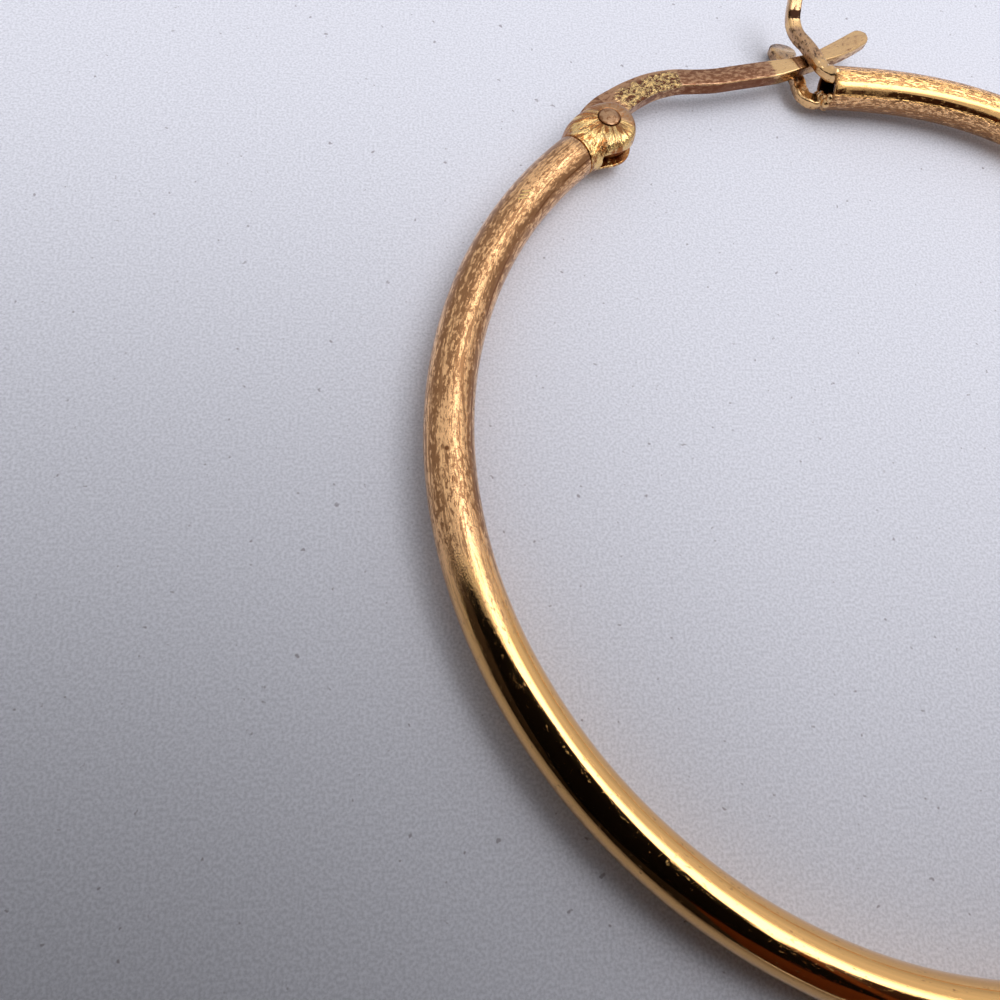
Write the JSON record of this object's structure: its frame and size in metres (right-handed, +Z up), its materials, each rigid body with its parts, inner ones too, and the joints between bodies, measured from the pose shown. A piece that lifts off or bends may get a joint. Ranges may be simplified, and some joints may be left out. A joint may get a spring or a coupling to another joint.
{
  "type": "hinged hoop earring",
  "caption": "Hollow tube hoop earring with a flat hinged ear wire that drops between the arms of a soldered catch, lying on its side.",
  "frame": {"origin": "middle of the bottom of the lying earring's box", "axes": "+Z up, the hoop lying nearly flat in XY; +Y from the hoop's centre towards its closure"},
  "size_m": [0.043, 0.047, 0.0031],
  "materials": {
    "tube_gold": "polished",
    "knuckle_gold": "brushed",
    "rivet_brass": "satin",
    "wire_gold": "satin"
  },
  "bodies": {
    "hoop": {"hoop_with_catch": "tube_gold", "hinge_knuckle": "knuckle_gold", "hinge_rivet": "rivet_brass"},
    "ear_wire": {"ear_wire": "wire_gold"}
  },
  "joints": [
    {"name": "ear_wire_hinge", "type": "hinge", "parent": "hoop", "child": "ear_wire", "pos_m": [-0.01281, 0.01414, 0.00134], "axis": [0.0003, -0.0033, 1], "range_deg": [0, 70]}
  ]
}
